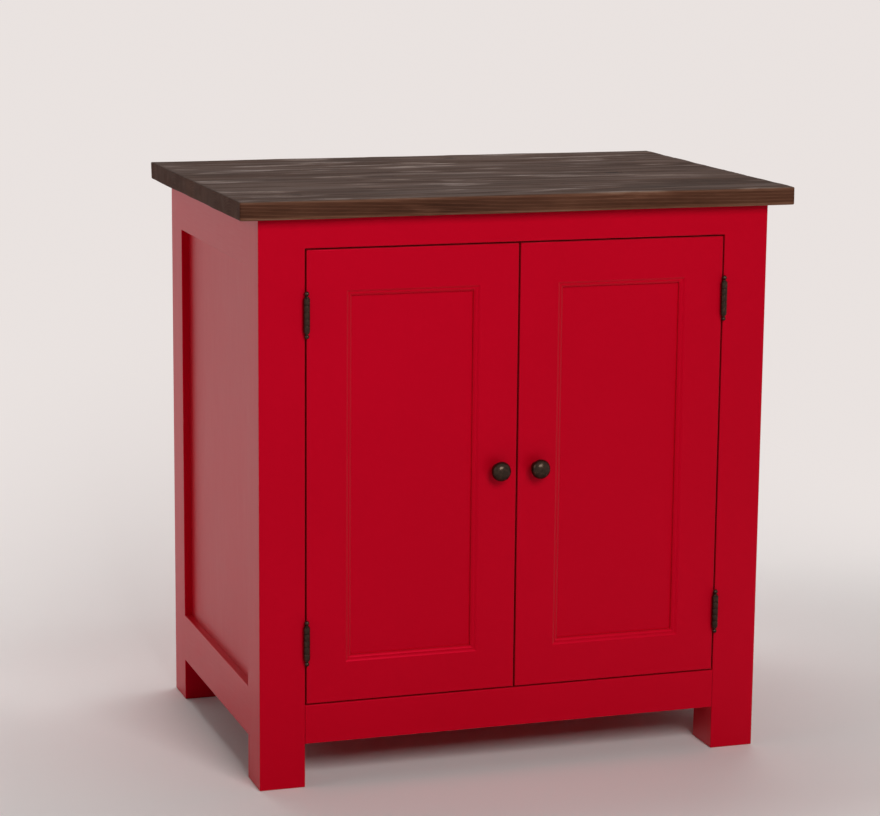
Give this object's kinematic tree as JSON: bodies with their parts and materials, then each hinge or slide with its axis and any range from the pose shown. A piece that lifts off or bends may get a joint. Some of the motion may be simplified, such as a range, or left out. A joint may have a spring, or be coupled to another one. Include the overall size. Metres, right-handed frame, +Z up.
{
  "type": "kitchen cupboard",
  "caption": "Free-standing painted wood kitchen cupboard with square post legs, inset panelled doors, round knobs and an overhanging plank worktop.",
  "frame": {"origin": "on the floor, in the middle of the whole object's width and depth", "axes": "+Z up, the doors face -Y, +X to the right as seen from the front"},
  "size_m": [0.866, 0.5932, 0.885],
  "materials": {
    "red_paint": "satin red paint on solid wood",
    "dark_stained_wood": "dark brown stain and wax, brushed grain",
    "dark_bronze": "dark bronzed metal",
    "zinc_steel": "zinc-plated steel",
    "brown_plastic": "moulded, satin"
  },
  "bodies": {
    "carcass": {"front_left_post": "red_paint", "front_right_post": "red_paint", "back_left_post": "red_paint", "back_right_post": "red_paint", "front_top_rail": "red_paint", "front_bottom_rail": "red_paint", "back_top_rail": "red_paint", "back_bottom_rail": "red_paint", "left_side_top_rail": "red_paint", "left_side_bottom_rail": "red_paint", "right_side_top_rail": "red_paint", "right_side_bottom_rail": "red_paint", "left_side_panel": "red_paint", "right_side_panel": "red_paint", "back_panel": "red_paint", "floor_board": "red_paint", "left_floor_cleat": "red_paint", "right_floor_cleat": "red_paint", "shelf": "red_paint", "front_left_shelf_peg": "zinc_steel", "front_right_shelf_peg": "zinc_steel", "back_left_shelf_peg": "zinc_steel", "back_right_shelf_peg": "zinc_steel", "worktop_board_1": "dark_stained_wood", "worktop_board_2": "dark_stained_wood", "worktop_board_3": "dark_stained_wood", "worktop_board_4": "dark_stained_wood", "worktop_board_5": "dark_stained_wood", "left_worktop_batten": "red_paint", "right_worktop_batten": "red_paint", "left_upper_hinge_post_leaf": "dark_bronze", "left_lower_hinge_post_leaf": "dark_bronze", "right_upper_hinge_post_leaf": "dark_bronze", "right_lower_hinge_post_leaf": "dark_bronze", "left_upper_hinge_pin": "dark_bronze", "left_lower_hinge_pin": "dark_bronze", "right_upper_hinge_pin": "dark_bronze", "right_lower_hinge_pin": "dark_bronze", "door_stop": "red_paint", "door_catch": "brown_plastic"},
    "left_door": {"left_door_hinge_stile": "red_paint", "left_door_meeting_stile": "red_paint", "left_door_top_rail": "red_paint", "left_door_bottom_rail": "red_paint", "left_door_panel": "red_paint", "left_door_knob": "dark_bronze", "left_door_knob_screw": "zinc_steel", "left_door_strike_plate": "zinc_steel", "left_upper_hinge_door_leaf": "dark_bronze", "left_lower_hinge_door_leaf": "dark_bronze"},
    "right_door": {"right_door_hinge_stile": "red_paint", "right_door_meeting_stile": "red_paint", "right_door_top_rail": "red_paint", "right_door_bottom_rail": "red_paint", "right_door_panel": "red_paint", "right_door_knob": "dark_bronze", "right_door_knob_screw": "zinc_steel", "right_door_strike_plate": "zinc_steel", "right_upper_hinge_door_leaf": "dark_bronze", "right_lower_hinge_door_leaf": "dark_bronze"}
  },
  "joints": [
    {"name": "left_door_hinge", "type": "hinge", "parent": "carcass", "child": "left_door", "pos_m": [-0.3288, -0.27345, 0.4695], "axis": [0, 0, -1], "range_deg": [0, 180]},
    {"name": "right_door_hinge", "type": "hinge", "parent": "carcass", "child": "right_door", "pos_m": [0.3288, -0.27345, 0.4695], "axis": [0, 0, 1], "range_deg": [0, 180]}
  ]
}
